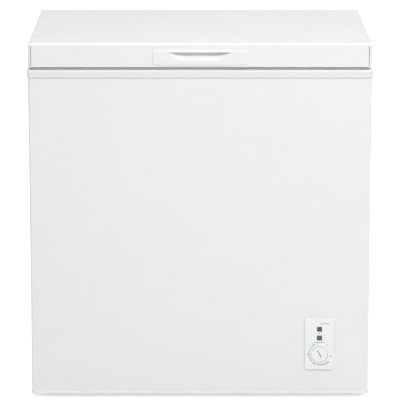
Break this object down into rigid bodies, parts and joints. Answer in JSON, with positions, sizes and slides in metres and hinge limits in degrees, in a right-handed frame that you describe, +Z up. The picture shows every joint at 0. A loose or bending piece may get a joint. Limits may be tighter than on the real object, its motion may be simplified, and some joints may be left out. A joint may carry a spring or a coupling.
{
  "type": "chest freezer",
  "caption": "White compact chest freezer: foamed steel cabinet, top-hinged lid with a recessed front handle, lower right control panel with a round dial, and a hanging basket inside.",
  "frame": {"origin": "middle of the footprint, on the floor under the feet", "axes": "+Z up, the front with the handle and the control panel faces -Y, +X is to the right as seen from the front"},
  "size_m": [0.805, 0.569, 0.854],
  "materials": {
    "white_steel": "satin",
    "frame_plastic": "satin",
    "white_plastic": "satin",
    "panel_plastic": "satin",
    "white_wire": "satin",
    "liner_aluminium": "satin",
    "pipe_aluminium": "satin",
    "galvanised": "satin",
    "zinc_steel": "satin",
    "dark_steel": "satin",
    "black_steel": "gloss",
    "copper": "satin",
    "foam": "matte",
    "grey_rubber": "matte",
    "black_rubber": "matte",
    "black_plastic": "satin",
    "green_lens": "gloss"
  },
  "bodies": {
    "cabinet": {"cabinet_wrap": "white_steel", "back_panel": "galvanised", "bottom_panel": "galvanised", "foam_insulation": "foam", "inner_liner": "liner_aluminium", "top_frame": "frame_plastic", "foot_front_left": "black_rubber", "foot_front_right": "black_rubber", "foot_rear_left": "black_rubber", "foot_rear_right": "black_rubber", "evaporator_coil": "pipe_aluminium", "condenser_coil": "dark_steel", "compartment_lining": "galvanised", "compressor_base_plate": "galvanised", "compressor_carrier": "black_steel", "compressor_grommet_1": "black_rubber", "compressor_grommet_2": "black_rubber", "compressor_grommet_3": "black_rubber", "compressor_grommet_4": "black_rubber", "compressor_bolt_1": "zinc_steel", "compressor_bolt_2": "zinc_steel", "compressor_bolt_3": "zinc_steel", "compressor_bolt_4": "zinc_steel", "compressor_lower_shell": "black_steel", "compressor_upper_shell": "black_steel", "compressor_motor": "dark_steel", "start_relay_cover": "black_plastic", "suction_pipe": "copper", "discharge_pipe": "copper", "process_stub": "copper", "filter_drier": "copper", "capillary_tube": "copper", "rear_grille": "galvanised", "cord_inlet_grommet": "black_rubber", "drain_tube": "white_plastic", "control_panel": "panel_plastic", "indicator_lamp_upper": "green_lens", "indicator_lamp_lower": "green_lens", "thermostat_body": "black_plastic", "wiring_loom": "black_plastic", "hinge_base_left": "zinc_steel", "hinge_base_right": "zinc_steel", "hinge_pin_left": "zinc_steel", "hinge_pin_right": "zinc_steel", "hinge_spring_left": "dark_steel", "hinge_spring_right": "dark_steel"},
    "lid": {"lid_skin": "white_steel", "lid_foam": "foam", "lid_inner_panel": "frame_plastic", "lid_gasket": "grey_rubber", "lid_handle": "white_plastic", "hinge_leaf_left": "zinc_steel", "hinge_leaf_right": "zinc_steel"},
    "thermostat_dial": {"thermostat_knob": "panel_plastic", "thermostat_shaft": "zinc_steel"},
    "basket": {"storage_basket": "white_wire"},
    "drain_plug": {"drain_plug": "frame_plastic"},
    "drain_cap": {"drain_cap": "white_plastic"},
    "hinge_slider_left": {"hinge_slider_left": "black_plastic"},
    "hinge_slider_right": {"hinge_slider_right": "black_plastic"}
  },
  "joints": [
    {"name": "lid_hinge", "type": "hinge", "parent": "cabinet", "child": "lid", "pos_m": [0, 0.276, 0.795], "axis": [-1, 0, 0], "range_deg": [0, 85], "stiffness_Nm_per_rad": 6, "springref_deg": 84.8},
    {"name": "thermostat_turn", "type": "hinge", "parent": "cabinet", "child": "thermostat_dial", "pos_m": [0.2833, -0.28, 0.1078], "axis": [0, 1, 0], "range_deg": [-60, 210]},
    {"name": "basket_slide", "type": "slide", "parent": "cabinet", "child": "basket", "axis": [-1, 0, 0], "range_m": [0, 0.42]},
    {"name": "drain_plug_lift", "type": "slide", "parent": "cabinet", "child": "drain_plug", "axis": [0, 0, 1], "range_m": [0, 0.035]},
    {"name": "drain_cap_pull", "type": "slide", "parent": "cabinet", "child": "drain_cap", "axis": [-1, 0, 0], "range_m": [0, 0.025]},
    {"name": "hinge_slide_left", "type": "slide", "parent": "cabinet", "child": "hinge_slider_left", "axis": [0, 0, 1], "range_m": [0, 0.0062], "deforming": ["hinge_spring_left"]},
    {"name": "hinge_slide_right", "type": "slide", "parent": "cabinet", "child": "hinge_slider_right", "axis": [0, 0, 1], "range_m": [0, 0.0062], "deforming": ["hinge_spring_right"]}
  ],
  "couplings": [
    {"joint": "hinge_slide_left", "follows": "lid_hinge", "m_per_rad": 0.004},
    {"joint": "hinge_slide_right", "follows": "lid_hinge", "m_per_rad": 0.004}
  ]
}
